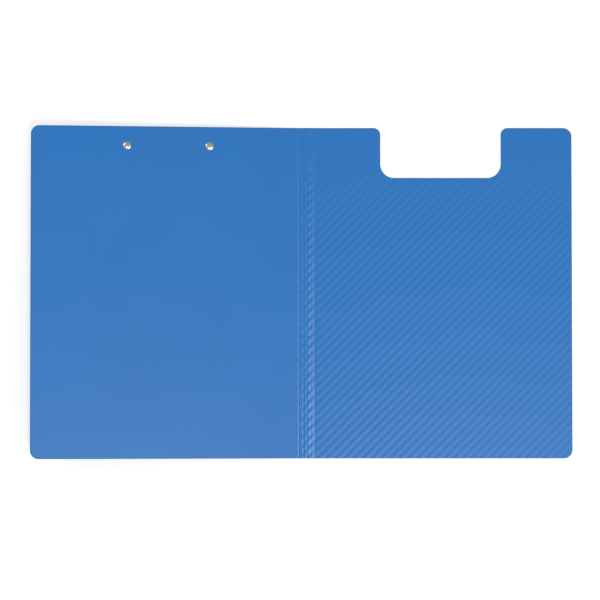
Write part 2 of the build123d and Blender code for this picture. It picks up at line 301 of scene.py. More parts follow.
def finish_piece(piece, name, placing, material, smooth_degrees=35):
    """Names a piece, puts it in the shared frame, turns its faces outwards and shades it."""
    piece.name = name
    piece.data.name = name
    piece.data.transform(piece.matrix_world)
    piece.matrix_world = Matrix.Identity(4)
    piece.data.transform(placing)
    start_edit(piece)
    bpy.ops.mesh.select_all(action="SELECT")
    bpy.ops.mesh.remove_doubles(threshold=MERGE_GAP)
    bpy.ops.mesh.normals_make_consistent(inside=False)
    end_edit()
    bpy.ops.object.shade_smooth_by_angle(angle=math.radians(smooth_degrees))
    modifier(piece, "WEIGHTED_NORMAL", mode="FACE_AREA", weight=100, keep_sharp=True)
    piece.data.materials.clear()
    piece.data.materials.append(material)
    return piece


# Node helpers
def add_node(tree, kind, values=None, **settings):
    """Adds a node with settings and with values for its unlinked inputs."""
    made = tree.nodes.new(kind)
    for name, value in settings.items():
        setattr(made, name, value)
    for socket, value in (values or {}).items():
        made.inputs[socket].default_value = value
    return made


def join(tree, source, target, socket):
    """Links a (node, output) pair to an input of another node."""
    node, output = source
    tree.links.new(node.outputs[output], target.inputs[socket])


def maths(tree, operation, first, second=None, clamp=False):
    """A Math node; each operand is a number or a (node, output) pair."""
    made = add_node(tree, "ShaderNodeMath", operation=operation, use_clamp=clamp)
    for place, operand in enumerate((first, second)):
        if isinstance(operand, tuple):
            join(tree, operand, made, place)
        elif operand is not None:
            made.inputs[place].default_value = operand
    return made, "Value"


def axes(tree, vector, names):
    """The named axes of a vector, each as a (node, output) pair."""
    made = tree.nodes.new("ShaderNodeSeparateXYZ")
    join(tree, vector, made, 0)
    return [(made, name) for name in names]


def noise(tree, vector, scale, detail, roughness=0.5):
    """Uneven patches; the scale is a number or a (node, output) pair."""
    made = add_node(tree, "ShaderNodeTexNoise", {"Detail": detail, "Roughness": roughness})
    join(tree, vector, made, "Vector")
    if isinstance(scale, tuple):
        join(tree, scale, made, "Scale")
    else:
        made.inputs["Scale"].default_value = scale
    return made, "Fac"


def stretched(tree, vector, scale, turn=0.0):
    """The vector turned in the sheet's plane and scaled by axis, for streaks."""
    made = add_node(tree, "ShaderNodeMapping", {"Rotation": (0, 0, turn), "Scale": scale})
    join(tree, vector, made, "Vector")
    return made, "Vector"


def ramp(tree, source, low, high, bottom=0.0, top=1.0, way="LINEAR"):
    """Runs from bottom to top as the source goes from low to high, and is level past them."""
    limits = {"From Min": low, "From Max": high, "To Min": bottom, "To Max": top}
    made = add_node(tree, "ShaderNodeMapRange", limits, interpolation_type=way)
    join(tree, source, made, "Value")
    return made, "Result"


def bump(tree, height, depth, under=None):
    """A relief of the given depth, on top of another one where that is given."""
    made = add_node(tree, "ShaderNodeBump", {"Strength": 1.0, "Distance": depth})
    join(tree, height, made, "Height")
    if under:
        join(tree, under, made, "Normal")
    return made, "Normal"


def mix_colour(tree, amount, first, second):
    """Mixes two colours by a (node, output) mask; each colour is a value or a (node, output) pair."""
    made = add_node(tree, "ShaderNodeMix", data_type="RGBA")
    join(tree, amount, made, 0)
    for place, colour in ((6, first), (7, second)):
        if isinstance(colour[0], bpy.types.Node):
            join(tree, colour, made, place)
        else:
            made.inputs[place].default_value = (*colour, 1.0)
    return made, 2


def new_group(name, inputs, outputs):
    """An empty node group: inputs by name with their default, None for a vector, and outputs."""
    tree = bpy.data.node_groups.new(name, "ShaderNodeTree")
    for label, default in inputs.items():
        kind = "NodeSocketVector" if default is None else "NodeSocketFloat"
        socket = tree.interface.new_socket(label, in_out="INPUT", socket_type=kind)
        if default is not None:
            socket.default_value = default
    for label in outputs:
        tree.interface.new_socket(label, in_out="OUTPUT", socket_type="NodeSocketFloat")
    entry = tree.nodes.new("NodeGroupInput")
    leave = tree.nodes.new("NodeGroupOutput")
    return tree, entry, leave


def place_group(tree, group, vector, values):
    """Puts a node group into a material with its own values."""
    made = add_node(tree, "ShaderNodeGroup", node_tree=group)
    for socket, value in values.items():
        made.inputs[socket].default_value = value
    join(tree, vector, made, "Vector")
    return made


# Effects that several materials share
def build_twill():
    """Embossed twill: diagonal ridges that rise to the right, with the threads' crowns on them."""
    tree, entry, leave = new_group(
        "Twill emboss", {"Vector": None, "Thread": TWILL_THREAD, "Breaks": 0.4}, ["Height", "Band"]
    )
    place = (entry, "Vector")
    x, y = axes(tree, place, "XY")
    drift = maths(tree, "MULTIPLY", noise(tree, place, scale=45.0, detail=2.0), THREAD_DRIFT)
    across = maths(tree, "DIVIDE", maths(tree, "ADD", x, drift), (entry, "Thread"))
    up = maths(tree, "DIVIDE", y, (entry, "Thread"))
    step = maths(tree, "SUBTRACT", across, up)
    wave = maths(tree, "SINE", maths(tree, "MULTIPLY", step, math.pi / 2))
    band = maths(tree, "MULTIPLY", wave, BAND_STEEPNESS)
    band = maths(tree, "ADD", band, 0.5, clamp=True)
    warp = maths(tree, "ABSOLUTE", maths(tree, "SINE", maths(tree, "MULTIPLY", across, math.pi)))
    weft = maths(tree, "ABSOLUTE", maths(tree, "SINE", maths(tree, "MULTIPLY", up, math.pi)))
    lifted = maths(tree, "MULTIPLY", warp, band)
    crossing = maths(tree, "MULTIPLY", weft, maths(tree, "SUBTRACT", 1.0, band))
    threads = maths(tree, "MULTIPLY", maths(tree, "ADD", lifted, crossing), THREAD_SHARE)
    patches = noise(tree, place, scale=150.0, detail=3.0, roughness=0.6)
    broken = maths(tree, "MULTIPLY", patches, (entry, "Breaks"))
    ridge = maths(tree, "MULTIPLY", wave, maths(tree, "SUBTRACT", 1.0, broken))
    join(tree, maths(tree, "ADD", ridge, threads), leave, "Height")
    join(tree, band, leave, "Band")
    return tree


def build_grain():
    """Fine matt grain with a coarser unevenness under it."""
    tree, entry, leave = new_group(
        "Fine grain", {"Vector": None, "Size": 2500.0, "Coarse share": 0.4}, ["Height", "Mottle"]
    )
    place = (entry, "Vector")
    fine = noise(tree, place, scale=(entry, "Size"), detail=3.0, roughness=0.65)
    coarse = noise(tree, place, scale=180.0, detail=4.0, roughness=0.6)
    coarse = maths(tree, "MULTIPLY", coarse, (entry, "Coarse share"))
    join(tree, maths(tree, "ADD", fine, coarse), leave, "Height")
    join(tree, noise(tree, place, scale=9.0, detail=4.0, roughness=0.55), leave, "Mottle")
    return tree


def build_scuffs():
    """Sparse light rub marks and hairline scratches as a mask."""
    tree, entry, leave = new_group("Scuffs", {"Vector": None, "Amount": 0.5}, ["Mask"])
    place = (entry, "Vector")
    lengthened = stretched(tree, place, scale=(14.0, 210.0, 14.0), turn=SCUFF_TURN)
    streaks = noise(tree, lengthened, scale=1.0, detail=5.0, roughness=0.7)
    patches = noise(tree, place, scale=22.0, detail=3.0, roughness=0.6)
    thin = ramp(tree, streaks, low=0.66, high=0.76)
    where = ramp(tree, patches, low=0.55, high=0.7)
    mask = maths(tree, "MULTIPLY", thin, where)
    join(tree, maths(tree, "MULTIPLY", mask, (entry, "Amount"), clamp=True), leave, "Mask")
    return tree


def build_edge_wear_and_rim_shade():
    """A mask of sharp outer edges, from the rounded normal against the true one: real wear on the metal and
    the caps, painted shade along the blue plastic's rim.
    """
    tree, entry, leave = new_group(
        "Edge wear and rim shade", {"Vector": None, "Width": 0.6 * MM, "Strength": 1.0}, ["Mask"]
    )
    rounded = add_node(tree, "ShaderNodeBevel", samples=4)
    join(tree, (entry, "Width"), rounded, "Radius")
    facts = tree.nodes.new("ShaderNodeNewGeometry")
    agree = add_node(tree, "ShaderNodeVectorMath", operation="DOT_PRODUCT")
    join(tree, (rounded, "Normal"), agree, 0)
    join(tree, (facts, "Normal"), agree, 1)
    gap = maths(tree, "SUBTRACT", 1.0, (agree, "Value"), clamp=True)
    ragged = noise(tree, (entry, "Vector"), scale=900.0, detail=3.0, roughness=0.6)
    worn = maths(tree, "MULTIPLY", gap, ragged)
    worn = maths(tree, "MULTIPLY", worn, (entry, "Strength"))
    join(tree, maths(tree, "MULTIPLY", worn, EDGE_MASK_GAIN, clamp=True), leave, "Mask")
    return tree


def build_spine_highlights():
    """Painted highlights on the crests between the spine's pressed lines, and painted glints on the twill
    of its third and fourth bands, where the Gloss output also lowers the roughness; all stronger towards
    the lower end.
    """
    tree, entry, leave = new_group(
        "Spine highlights", {"Vector": None, "Twill band": 0.0, "Crest share": 0.5}, ["Mask", "Gloss"]
    )
    place = (entry, "Vector")
    x, y = axes(tree, place, "XY")
    band_count = SPINE_LINES + 1
    bands = maths(tree, "DIVIDE", maths(tree, "SUBTRACT", x, FOLD_X), SPINE_W / band_count)
    turns = maths(tree, "MULTIPLY", maths(tree, "SUBTRACT", bands, 0.5), 2 * math.pi)
    crest = maths(tree, "MAXIMUM", maths(tree, "COSINE", turns), 0.0)
    from_middle = maths(tree, "ABSOLUTE", maths(tree, "SUBTRACT", bands, band_count / 2))
    inside = maths(tree, "LESS_THAN", from_middle, band_count / 2 + CREST_SPREAD)
    crest = maths(tree, "MULTIPLY", crest, inside)
    fade = maths(tree, "MULTIPLY", bands, 1 / (band_count + 1))
    crest = maths(tree, "MULTIPLY", crest, maths(tree, "SUBTRACT", 1.0, fade, clamp=True))
    streaks = stretched(tree, place, scale=(900.0, 130.0, 900.0))
    uneven = noise(tree, streaks, scale=1.0, detail=4.0, roughness=0.65)
    dashes = ramp(tree, uneven, low=0.3, high=0.7, bottom=0.35)
    # Painted sheen: stronger towards the lower end
    lower_end_sheen = ramp(tree, y, low=SHEEN_FROM, high=-SHEEN_FROM, bottom=0.1)
    # Painted highlights on the crests between the pressed lines
    pale = maths(tree, "MULTIPLY", crest, dashes)
    pale = maths(tree, "MULTIPLY", pale, maths(tree, "ADD", lower_end_sheen, CREST_BASE))
    pale = maths(tree, "MULTIPLY", pale, (entry, "Crest share"))
    # Third and fourth bands: lower roughness there, and painted glints in the colour
    rubbed = ramp(tree, bands, low=BURNISH_AND_GLINT_START, high=BURNISH_AND_GLINT_FULL, way="SMOOTHSTEP")
    rubbed = maths(tree, "MULTIPLY", rubbed, maths(tree, "LESS_THAN", bands, float(band_count)))
    rubbed = maths(tree, "MULTIPLY", rubbed, dashes)
    rubbed = maths(tree, "MULTIPLY", rubbed, lower_end_sheen)
    last_band = maths(tree, "GREATER_THAN", bands, float(SPINE_LINES))
    last_band_glint = maths(tree, "MULTIPLY", last_band, LAST_BAND_GLINT)
    twill_glint = maths(tree, "MAXIMUM", (entry, "Twill band"), last_band_glint)
    # Painted glints on the twill of those bands
    painted_glints = maths(tree, "MULTIPLY", rubbed, maths(tree, "MULTIPLY", twill_glint, GLINT_WHITENING))
    join(tree, maths(tree, "ADD", pale, painted_glints, clamp=True), leave, "Mask")
    join(tree, rubbed, leave, "Gloss")
    return tree


twill = build_twill()
spine_highlight_group = build_spine_highlights()
grain = build_grain()
scuffs = build_scuffs()
edge_wear_and_rim_shade = build_edge_wear_and_rim_shade()


# Materials
def new_material(name):
    """A material with one principled shader and its texture coordinates."""
    made = bpy.data.materials.new(name)
    made.use_nodes = True
    tree = made.node_tree
    tree.nodes.clear()
    shader = tree.nodes.new("ShaderNodeBsdfPrincipled")
    leave = tree.nodes.new("ShaderNodeOutputMaterial")
    join(tree, (shader, "BSDF"), leave, "Surface")
    coordinates = tree.nodes.new("ShaderNodeTexCoord")
    return made, tree, shader, coordinates


def blue_plastic(name, twill_depth, roughness, twill_shade_share=0.0, scuff_amount=0.5, whitening=0.0):
    """Matt blue polypropylene with its embossing, painted shade and light along the twill, painted
    highlights and glints on the spine's pressed lines, rub marks, and painted shade along the cut edges.
    """
    made, tree, shader, coordinates = new_material(name)
    place = (coordinates, "Object")
    x, y = axes(tree, place, "XY")
    fine = place_group(tree, grain, place, {"Size": 2600.0, "Coarse share": 0.5})
    weave = place_group(tree, twill, place, {"Thread": TWILL_THREAD, "Breaks": 0.5})
    marks = place_group(tree, scuffs, place, {"Amount": scuff_amount})
    edges = place_group(tree, edge_wear_and_rim_shade, place, {"Width": RIM_SHADE_WIDTH, "Strength": RIM_SHADE_STRENGTH})
    spine_highlights = place_group(tree, spine_highlight_group, place, {"Crest share": CREST_SHARE})
    facing = axes(tree, (coordinates, "Normal"), "Z")[0]
    outer = maths(tree, "GREATER_THAN", facing, OUTER_FACING)
    emboss_and_shade_strength = ramp(tree, y, low=TWILL_FAINT, high=TWILL_FULL, bottom=0.12)

    # Painted shade in the twill's grooves and painted light on its ridges, fading towards the top edge; the
    # mottle beside it is the plastic's own uneven tone
    band = maths(tree, "MULTIPLY", maths(tree, "SUBTRACT", (weave, "Band"), 0.5), emboss_and_shade_strength)
    band = maths(tree, "MULTIPLY", maths(tree, "ADD", band, 0.5), twill_shade_share)
    share = maths(tree, "MULTIPLY", (fine, "Mottle"), 1.0 - twill_shade_share)
    body = mix_colour(tree, maths(tree, "ADD", share, band), BLUE_DEEP, BLUE)

    # Painted highlights and glints of the spine, mixed with the real rub marks into the pale colour
    join(tree, (weave, "Band"), spine_highlights, "Twill band")
    pressed = maths(tree, "MULTIPLY", (spine_highlights, "Mask"), outer)
    rubbed = maths(tree, "MULTIPLY", (marks, "Mask"), SCUFF_SHARE)
    rubbed = maths(tree, "ADD", rubbed, pressed, clamp=True)
    if whitening:
        pale = maths(tree, "MULTIPLY", noise(tree, place, scale=500.0, detail=3.0), whitening)
        rubbed = maths(tree, "ADD", rubbed, pale, clamp=True)
    body = mix_colour(tree, rubbed, body, BLUE_PALE)

    # Painted shade: a darker line along the rims of board and cover and at the spine's ends
    from_spine = maths(tree, "ABSOLUTE", maths(tree, "SUBTRACT", x, FOLD_X + SPINE_W / 2))
    off_spine = maths(tree, "GREATER_THAN", from_spine, SPINE_W)
    from_middle = maths(tree, "ABSOLUTE", y)
    at_end = maths(tree, "GREATER_THAN", from_middle, SHEET_H / 2 - 2 * RIM_SOFTNESS)
    rim = maths(tree, "MULTIPLY", (edges, "Mask"), maths(tree, "MAXIMUM", off_spine, at_end))
    join(tree, mix_colour(tree, rim, body, BLUE_RIM_SHADE), shader, "Base Color")

    least = roughness - ROUGHNESS_SPREAD
    most = roughness + ROUGHNESS_SPREAD
    dull = ramp(tree, (fine, "Height"), low=0.2, high=0.8, bottom=least, top=most)
    burnish = maths(tree, "MULTIPLY", (spine_highlights, "Gloss"), BURNISH_GLOSS)
    join(tree, maths(tree, "SUBTRACT", dull, burnish), shader, "Roughness")

    relief = maths(tree, "MULTIPLY", (weave, "Height"), outer)
    relief = maths(tree, "MULTIPLY", relief, emboss_and_shade_strength)
    embossed = bump(tree, relief, twill_depth)
    join(tree, bump(tree, (fine, "Height"), PLASTIC_GRAIN, under=embossed), shader, "Normal")
    shader.inputs["IOR"].default_value = PLASTIC_IOR
    return made


def bright_metal(name, colour, dark, roughness, scratch_angle=0.0, tarnish=0.4):
    """Plated or bare steel with drawn lines, faint tarnish and brighter rubbed edges."""
    made, tree, shader, coordinates = new_material(name)
    place = (coordinates, "Object")
    drawn = stretched(tree, place, scale=(400.0, 14000.0, 6000.0), turn=scratch_angle)
    lines = noise(tree, drawn, scale=1.0, detail=4.0, roughness=0.6)
    edges = place_group(tree, edge_wear_and_rim_shade, place, {"Width": WORN_WIDTH, "Strength": 0.7})
    cloud = noise(tree, place, scale=130.0, detail=5.0, roughness=0.65)
    dim = ramp(tree, cloud, low=0.42, high=0.78, top=tarnish)
    body = mix_colour(tree, dim, colour, dark)
    paler = tuple(channel * EDGE_BRIGHTENING for channel in colour)
    join(tree, mix_colour(tree, (edges, "Mask"), body, paler), shader, "Base Color")
    least = roughness * DRAWN_BRIGHT
    most = roughness * DRAWN_DULL
    join(tree, ramp(tree, lines, low=0.3, high=0.7, bottom=least, top=most), shader, "Roughness")
    join(tree, bump(tree, lines, METAL_GRAIN), shader, "Normal")
    shader.inputs["Metallic"].default_value = 1.0
    return made


def black_plastic(name):
    """Moulded black plastic with a fine texture and greyed edges."""
    made, tree, shader, coordinates = new_material(name)
    place = (coordinates, "Object")
    fine = place_group(tree, grain, place, {"Size": 3200.0, "Coarse share": 0.3})
    edges = place_group(tree, edge_wear_and_rim_shade, place, {"Width": WORN_WIDTH, "Strength": 0.8})
    body = mix_colour(tree, (fine, "Mottle"), BLACK_DEEP, BLACK)
    join(tree, mix_colour(tree, (edges, "Mask"), body, BLACK_WORN), shader, "Base Color")
    dull = ramp(tree, (fine, "Height"), low=0.3, high=0.9, bottom=0.38, top=0.58)
    join(tree, dull, shader, "Roughness")
    join(tree, bump(tree, (fine, "Height"), MOULD_GRAIN), shader, "Normal")
    return made


cover_blue = blue_plastic(
    "cover_blue", twill_depth=0.055 * MM, roughness=0.31, twill_shade_share=0.7, scuff_amount=0.35
)
board_blue = blue_plastic("board_blue", twill_depth=0.008 * MM, roughness=0.31, scuff_amount=0.2)
spine_blue = blue_plastic("spine_blue", twill_depth=0.06 * MM, roughness=0.24, twill_shade_share=0.7)
fold_blue = blue_plastic("fold_blue", twill_depth=0.02 * MM, roughness=0.34, whitening=0.15)
nickel = bright_metal(
    "nickel", colour=(0.54, 0.59, 0.53), dark=(0.33, 0.34, 0.29), roughness=0.26, scratch_angle=0.4
)
chrome = bright_metal(
    "chrome", colour=(0.72, 0.73, 0.75), dark=(0.50, 0.50, 0.50), roughness=0.12, tarnish=0.15
)
zinc = bright_metal("zinc", colour=(0.56, 0.57, 0.59), dark=(0.36, 0.36, 0.37), roughness=0.30)
pin_steel = bright_metal("pin_steel", colour=(0.60, 0.60, 0.61), dark=(0.36, 0.35, 0.34), roughness=0.22)
spring_steel = bright_metal(
    "spring_steel", colour=(0.48, 0.47, 0.45), dark=(0.24, 0.23, 0.21), roughness=0.24
)
tip_black = black_plastic("tip_black")


# Board and cover: cut sheets with round corners and softened rims
def round_corner(piece, test, radius, segments):
    """Rounds the outline's vertices that pass a test."""
    pick(piece, "VERT", test)
    bpy.ops.mesh.bevel(offset=radius, affect="VERTICES", segments=segments, profile=0.5)


def thicken_sheet(piece):
    """Gives a flat outline its thickness, half of it on either side."""
    bpy.ops.mesh.select_all(action="SELECT")
    bpy.ops.mesh.extrude_region_move(TRANSFORM_OT_translate={"value": (0, 0, SHEET_T)})
    bpy.ops.mesh.select_all(action="SELECT")
    bpy.ops.transform.translate(value=(0, 0, -HALF_T))
    bpy.ops.mesh.normals_make_consistent(inside=False)


def soften_rim(piece, fold_edge):
    """Rounds the long edges of the rim, but not the nose along the fold."""
    mesh = bmesh.from_edit_mesh(piece.data)
    bpy.ops.mesh.select_mode(type="EDGE")
    bpy.ops.mesh.select_all(action="DESELECT")
    for edge in mesh.edges:
        ends = [vertex.co for vertex in edge.verts]
        flat = near(abs(ends[0].z), HALF_T) and near(ends[0].z, ends[1].z)
        outline = any(abs(face.normal.z) < 0.5 for face in edge.link_faces)
        along_fold = all(abs(end.x - fold_edge) < NOSE_REACH for end in ends)
        if flat and outline and not along_fold:
            edge.select_set(True)
    bmesh.update_edit_mesh(piece.data)
    bpy.ops.mesh.bevel(offset=RIM_SOFTNESS, affect="EDGES", segments=RIM_STEPS, profile=0.5)


def shape_nose(piece, fold_edge, inward):
    """Slopes both faces down to the nose at the fold, with a raised shoulder on the outer side."""
    halfway = fold_edge + inward * GROOVE_DEPTH
    inner_shoulder = fold_edge + inward * NOSE_DROP
    shoulder = fold_edge + inward * SHOULDER_OUT
    foot = shoulder + inward * SHOULDER_RUN
    for place in (halfway, inner_shoulder, shoulder, foot):
        split_at(piece, x=place)
    moves = (
        (fold_edge, 1, -GROOVE_DEPTH),
        (halfway, 1, -SHOULDER_RISE),
        (inner_shoulder, 1, SHOULDER_RISE * 0.3),
        (shoulder, 1, SHOULDER_RISE),
        (fold_edge, -1, -NOSE_DROP),
        (halfway, -1, GROOVE_DEPTH - NOSE_DROP),
    )
    for place, face, rise in moves:
        pick(piece, "VERT", lambda v: near(v.x, place) and near(v.z, face * HALF_T))
        bpy.ops.transform.translate(value=(0, 0, face * rise))


def cut_sheet(inner, outer, notch=None):
    """A sheet outline from the fold edge to the free edge, with an optional notch at its top."""
    bpy.ops.object.select_all(action="DESELECT")
    bpy.ops.mesh.primitive_plane_add(size=1, location=(0, 0, 0))
    piece = bpy.context.active_object
    size_up(piece, (abs(outer - inner), SHEET_H, 1), ((inner + outer) / 2, 0, 0))
    start_edit(piece)
    if notch:
        left, right, floor_y = notch
        split_at(piece, x=left)
        split_at(piece, x=right)
        split_at(piece, y=floor_y)
        pick(piece, "FACE", lambda middle: left < middle.x < right and middle.y > floor_y)
        bpy.ops.mesh.delete(type="FACE")
        bpy.ops.mesh.select_all(action="SELECT")
        bpy.ops.mesh.dissolve_limited(angle_limit=FLAT_ANGLE)
        rounds = (
            (floor_y, NOTCH_INNER_R, NOTCH_INNER_STEPS),
            (SHEET_H / 2, NOTCH_MOUTH_R, NOTCH_MOUTH_STEPS),
        )
        for level, radius, steps in rounds:
            round_corner(
                piece,
                lambda v: (near(v.x, left) or near(v.x, right)) and near(v.y, level),
                radius,
                steps,
            )
    round_corner(piece, lambda v: near(v.x, outer), CORNER_R, CORNER_STEPS)
    thicken_sheet(piece)
    shape_nose(piece, inner, math.copysign(1, outer - inner))
    soften_rim(piece, inner)
    end_edit()
    return piece


def rivet_place(side, height):
    """A rivet's place on the board, at a height on its axis."""
    return Vector((-CLIP_X + side * RIVET_PITCH / 2, SHEET_H / 2 - RIVET_Y, height))


def rivet_bores(piece):
    """Drills the two rivet holes through the board."""
    for side in (-1, 1):
        bpy.ops.object.select_all(action="DESELECT")
        bpy.ops.mesh.primitive_cylinder_add(
            vertices=BORE_SIDES, radius=RIVET_BORE, depth=4 * SHEET_T, location=rivet_place(side, 0)
        )
        drill = bpy.context.active_object
        modifier(piece, "BOOLEAN", operation="DIFFERENCE", object=drill, solver="EXACT")
        bpy.data.objects.remove(drill)


board_panel = cut_sheet(-WEB_HALF, -BOARD_W)
rivet_bores(board_panel)
finish_piece(board_panel, "board_panel", board_frame, board_blue)
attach(board_panel, "board")
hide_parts("back_board")

cover_panel = cut_sheet(WEB_HALF, COVER_W, notch=(NOTCH_NEAR, NOTCH_FAR, SHEET_H / 2 - NOTCH_DEPTH))
finish_piece(cover_panel, "cover_panel", cover_frame, cover_blue)
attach(cover_panel, "cover")
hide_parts("front_cover")


# Spine: four crowned bands between pressed lines
def spine_profile(band):
    """Where the spine is cut along its length, and how far each cut moves on either face."""
    moves = {}
    for side in (0, 1):
        edge = side * SPINE_W
        inward = 1 - 2 * side
        moves[edge + inward * WEB_HALF] = (-GROOVE_DEPTH, -NOSE_DROP)
        moves[edge + inward * (WEB_HALF + GROOVE_DEPTH)] = (SHOULDER_RISE / 2, GROOVE_DEPTH - NOSE_DROP)
        moves[edge + inward * (WEB_HALF + NOSE_DROP)] = (SHOULDER_RISE, 0)
    for count in range(1, SPINE_LINES + 1):
        line = band * count
        moves[line] = (-LINE_DEPTH_OUT, -LINE_DEPTH_IN)
        for side in (-1, 1):
            moves[line + side * LINE_HALF_OUT] = (0, LINE_HALF_OUT - LINE_DEPTH_IN)
            moves[line + side * LINE_DEPTH_IN] = (CROWN_RISE / 3, 0)
    for count in range(SPINE_LINES + 1):
        crown = band * (count + 0.5)
        moves[crown] = (CROWN_RISE, 0)
        for side in (-1, 1):
            moves[crown + side * CROWN_HALF / 2] = (CROWN_RISE * 0.85, 0)
    return moves


def spine_band():
    """A strip cut at each pressed line and crown, then pushed down or up there."""
    bpy.ops.object.select_all(action="DESELECT")
    bpy.ops.mesh.primitive_cube_add(size=1, location=(0, 0, 0))
    piece = bpy.context.active_object
    size_up(piece, (SPINE_W - WEB_W, SHEET_H, SHEET_T), (SPINE_W / 2, 0, 0))
    start_edit(piece)
    moves = spine_profile(SPINE_W / (SPINE_LINES + 1))
    for place in moves:
        if not near(place, WEB_HALF) and not near(place, SPINE_W - WEB_HALF):
            split_at(piece, x=place)
    for place, rises in moves.items():
        for face, rise in zip((1, -1), rises):
            pick(piece, "VERT", lambda v: near(v.x, place) and near(v.z, face * HALF_T))
            bpy.ops.transform.translate(value=(0, 0, face * rise))
    end_edit()
    return piece


spine_piece = spine_band()
finish_piece(spine_piece, "spine_band", spine_frame, spine_blue, smooth_degrees=50)
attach(spine_piece, "spine")
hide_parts("spine_strip")


# Folding webs: thin strips across each fold; on the real folder they bend as the fold turns
def fold_web(start, end, name, node):
    """A strip from nose to nose in the row frame, cut fine enough to bend smoothly."""
    length = (end - start).length
    thickness = HALF_T - GROOVE_DEPTH + WEB_T / 2
    bpy.ops.object.select_all(action="DESELECT")
    bpy.ops.mesh.primitive_cube_add(size=1, location=(0, 0, 0))
    piece = bpy.context.active_object
    size_up(piece, (length, SHEET_H, thickness), (0, 0, (thickness - WEB_T) / 2))
    start_edit(piece)
    for count in range(1, WEB_CUTS):
        split_at(piece, x=length * (count / WEB_CUTS - 0.5))
    end_edit()
    lean = math.atan2(start.z - end.z, end.x - start.x)
    placing = Matrix.Translation((start + end) / 2) @ Matrix.Rotation(lean, 4, "Y")
    finish_piece(piece, name, placing, fold_blue)
    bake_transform(piece)
    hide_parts(node)
    return piece


fold_web(
    board_frame @ Vector((-WEB_HALF, 0, 0)),
    spine_frame @ Vector((WEB_HALF, 0, 0)),
    "board_fold_web",
    "board_crease",
)
fold_web(
    cover_frame @ Vector((-WEB_HALF, 0, 0)),
    cover_frame @ Vector((WEB_HALF, 0, 0)),
    "cover_fold_web",
    "cover_crease",
)


# Turned pieces: each ring is extruded from the last and resized about the axis
def turn_rings(piece, first_radius, first_height, rings):
    """Extrudes the selected cap through rings of (radius, height) along z."""
    radius, height = first_radius, first_height
    for next_radius, next_height in rings:
        bpy.ops.mesh.extrude_region_move(TRANSFORM_OT_translate={"value": (0, 0, next_height - height)})
        share = next_radius / radius
        bpy.ops.transform.resize(value=(share, share, 1), center_override=(0, 0, next_height))
        radius, height = next_radius, next_height


def turned_piece(radius, low, high, rings_up, rings_down):
    """A short drum from low to high, carried on by rings at its top and its underside."""
    bpy.ops.object.select_all(action="DESELECT")
    bpy.ops.mesh.primitive_cylinder_add(
        vertices=TURNED_SIDES, radius=radius, depth=high - low, location=(0, 0, 0)
    )
    piece = bpy.context.active_object
    piece.data.transform(Matrix.Translation((0, 0, (low + high) / 2)))
    start_edit(piece)
    pick(piece, "FACE", lambda middle: near(middle.z, high) and near(middle.x, 0) and near(middle.y, 0))
    turn_rings(piece, radius, high, rings_up)
    pick(piece, "FACE", lambda middle: near(middle.z, low) and near(middle.x, 0) and near(middle.y, 0))
    turn_rings(piece, radius, low, rings_down)
    end_edit()
    return piece


def dome_rings(radius, low, high, count):
    """Rings of a shallow dome from its rim to a small flat at its top."""
    rise = high - low
    ball = (radius**2 + rise**2) / (2 * rise)
    rings = []
    for step in range(1, count + 1):
        ring = radius * (1 - step / (count + 0.4))
        rings.append((ring, low + math.sqrt(ball**2 - ring**2) - (ball - rise)))
    return rings


def rivet(side, name):
    """A domed rivet whose hollow tail is rolled over on the base plate."""
    tail = -(SHEET_T + BASE_T)
    rings_down = [
        (RIVET_HEAD_R * 0.93, 0),
        (RIVET_R, 0),
        (RIVET_R, tail),
        (RIVET_TAIL_R * 0.97, tail),
        (RIVET_TAIL_R, tail - RIVET_TAIL_H * 0.2),
        (RIVET_TAIL_R * 0.96, tail - RIVET_TAIL_H * 0.55),
        (RIVET_TAIL_R * 0.86, tail - RIVET_TAIL_H * 0.85),
        (RIVET_TAIL_R * 0.72, tail - RIVET_TAIL_H),
        (RIVET_HOLLOW_R * 1.5, tail - RIVET_TAIL_H * 0.93),
        (RIVET_HOLLOW_R * 1.12, tail - RIVET_TAIL_H * 0.6),
        (RIVET_HOLLOW_R, tail),
        (RIVET_HOLLOW_R, tail + RIVET_HOLLOW * 0.9),
        (RIVET_HOLLOW_R * 0.5, tail + RIVET_HOLLOW),
    ]
    rings_up = [
        (RIVET_HEAD_R * 0.985, RIVET_RIM * 1.5),
        *dome_rings(RIVET_HEAD_R * 0.97, RIVET_RIM * 1.7, RIVET_HEAD_H, DOME_RINGS),
    ]
    piece = turned_piece(RIVET_HEAD_R, RIVET_RIM * 0.3, RIVET_RIM, rings_up, rings_down)
    placing = board_frame @ Matrix.Translation(rivet_place(side, HALF_T))
    finish_piece(piece, name, placing, nickel, smooth_degrees=50)
    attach(piece, "board")
    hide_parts("clip_rivets")


rivet(-1, "rivet_free_side")
rivet(1, "rivet_fold_side")


def pivot_pin():
    """A rod along the clip with a peened round head at each end."""
    half = JAW_W / 2 + PIN_END_GAP
    head = [
        (PIN_HEAD_R * 0.94, half),
        (PIN_HEAD_R, half + PIN_HEAD_T * 0.2),
        (PIN_HEAD_R, half + PIN_HEAD_T * 0.45),
        *dome_rings(PIN_HEAD_R * 0.96, half + PIN_HEAD_T * 0.6, half + PIN_HEAD_T, HEAD_RINGS),
    ]
    tail = [(radius, -height) for radius, height in head]
    piece = turned_piece(PIN_R, -half, half, head, tail)
    placing = (
        clip_frame
        @ Matrix.Translation((0, PIN_Y, PIN_Z))
        @ Matrix.Rotation(math.pi / 2, 4, "Y")
    )
    finish_piece(piece, "pivot_pin", placing, pin_steel, smooth_degrees=50)
    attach(piece, "board")
    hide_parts("clip_pin")


pivot_pin()


